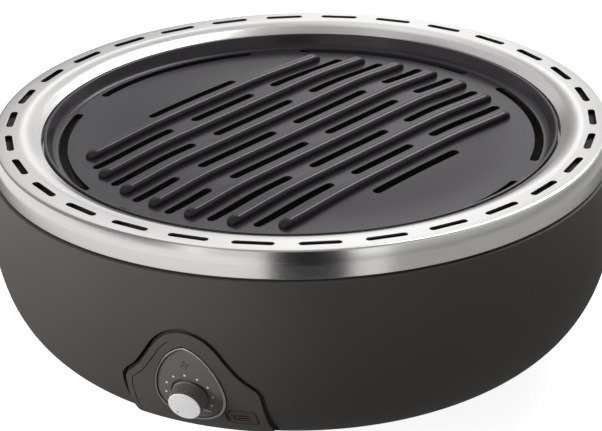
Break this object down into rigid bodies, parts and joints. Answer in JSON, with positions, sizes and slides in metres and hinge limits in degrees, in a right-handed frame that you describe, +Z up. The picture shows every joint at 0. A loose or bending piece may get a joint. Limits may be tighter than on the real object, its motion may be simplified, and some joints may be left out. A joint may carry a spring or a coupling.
{
  "type": "portable charcoal grill",
  "caption": "Round table-top charcoal grill: dark bowl housing, slotted steel collar, ribbed black plate, dial and knob panel; fan, charcoal basket, steel bowl and battery bay inside.",
  "frame": {"origin": "on the table under the centre of the bowl, at the underside of the feet", "axes": "+Z up; -Y is the front, where the control panel with its knob is; +X is to the right of someone facing the panel"},
  "size_m": [0.3496, 0.3532, 0.14],
  "materials": {
    "brushed_steel": "satin, brushed round the ring",
    "housing_plastic": "fine matt, near black",
    "base_plastic": "matt black",
    "dial_plastic": "matt dark grey with white dots",
    "chrome": "polished",
    "knob_plastic": "satin grey, knurled",
    "knob_metal": "satin",
    "zinc": "zinc plated",
    "board": "green solder mask",
    "soft_rubber": "matt black rubber",
    "pressed_steel": "bright pressed stainless steel",
    "nonstick": "black non-stick coating",
    "motor_can": "satin",
    "cell_sleeve": "gloss sleeve"
  },
  "bodies": {
    "housing": {"outer_housing": "housing_plastic", "steel_collar": "brushed_steel", "base_cover": "base_plastic", "control_panel": "housing_plastic", "dial_plate": "dial_plastic", "dial_ring": "chrome", "speed_control": "zinc", "control_nut": "zinc", "circuit_board": "board", "port_socket": "zinc", "fan_guide": "base_plastic", "fan_motor": "motor_can", "battery_box": "base_plastic", "base_screw_1": "zinc", "base_screw_2": "zinc", "base_screw_3": "zinc", "base_screw_4": "zinc", "rubber_foot_1": "soft_rubber", "rubber_foot_2": "soft_rubber", "rubber_foot_3": "soft_rubber", "rubber_foot_4": "soft_rubber", "board_screw_1": "zinc", "board_screw_2": "zinc", "battery_cell_1": "cell_sleeve", "battery_cell_2": "cell_sleeve", "battery_cell_3": "cell_sleeve", "battery_cell_4": "cell_sleeve", "battery_contact_1": "zinc", "battery_contact_2": "zinc"},
    "speed_knob": {"knob_body": "knob_plastic", "knob_cap": "knob_metal", "knob_shaft": "zinc"},
    "fan": {"fan_impeller": "base_plastic", "motor_shaft": "zinc"},
    "port_flap": {"port_cover": "soft_rubber"},
    "battery_hatch": {"battery_door": "base_plastic"},
    "bowl": {"inner_bowl": "pressed_steel", "fuel_tray": "pressed_steel"},
    "basket": {"charcoal_basket": "pressed_steel"},
    "lid": {"basket_lid": "pressed_steel", "lid_handle": "pressed_steel"},
    "plate": {"grill_plate": "nonstick"}
  },
  "joints": [
    {"name": "knob_turn", "type": "hinge", "parent": "housing", "child": "speed_knob", "pos_m": [0, -0.16793, 0.053], "axis": [0, 0.9563, 0.2924], "range_deg": [0, 285]},
    {"name": "fan_spin", "type": "hinge", "parent": "housing", "child": "fan", "pos_m": [0, 0, 0.0146], "axis": [0, 0, 1], "continuous": true},
    {"name": "port_flap_open", "type": "hinge", "parent": "housing", "child": "port_flap", "pos_m": [0.01894, -0.16153, 0.04], "axis": [0.013, 0.4839, -0.875], "range_deg": [0, 100]},
    {"name": "battery_door_slide", "type": "slide", "parent": "housing", "child": "battery_hatch", "axis": [0, 1, 0], "range_m": [0, 0.04]},
    {"name": "bowl_lift", "type": "slide", "parent": "housing", "child": "bowl", "axis": [0, 0, 1], "range_m": [0, 0.1]},
    {"name": "basket_lift", "type": "slide", "parent": "bowl", "child": "basket", "axis": [0, 0, 1], "range_m": [0, 0.08]},
    {"name": "lid_lift", "type": "slide", "parent": "basket", "child": "lid", "axis": [0, 0, 1], "range_m": [0, 0.06]},
    {"name": "plate_lift", "type": "slide", "parent": "lid", "child": "plate", "axis": [0, 0, 1], "range_m": [0, 0.08]}
  ]
}
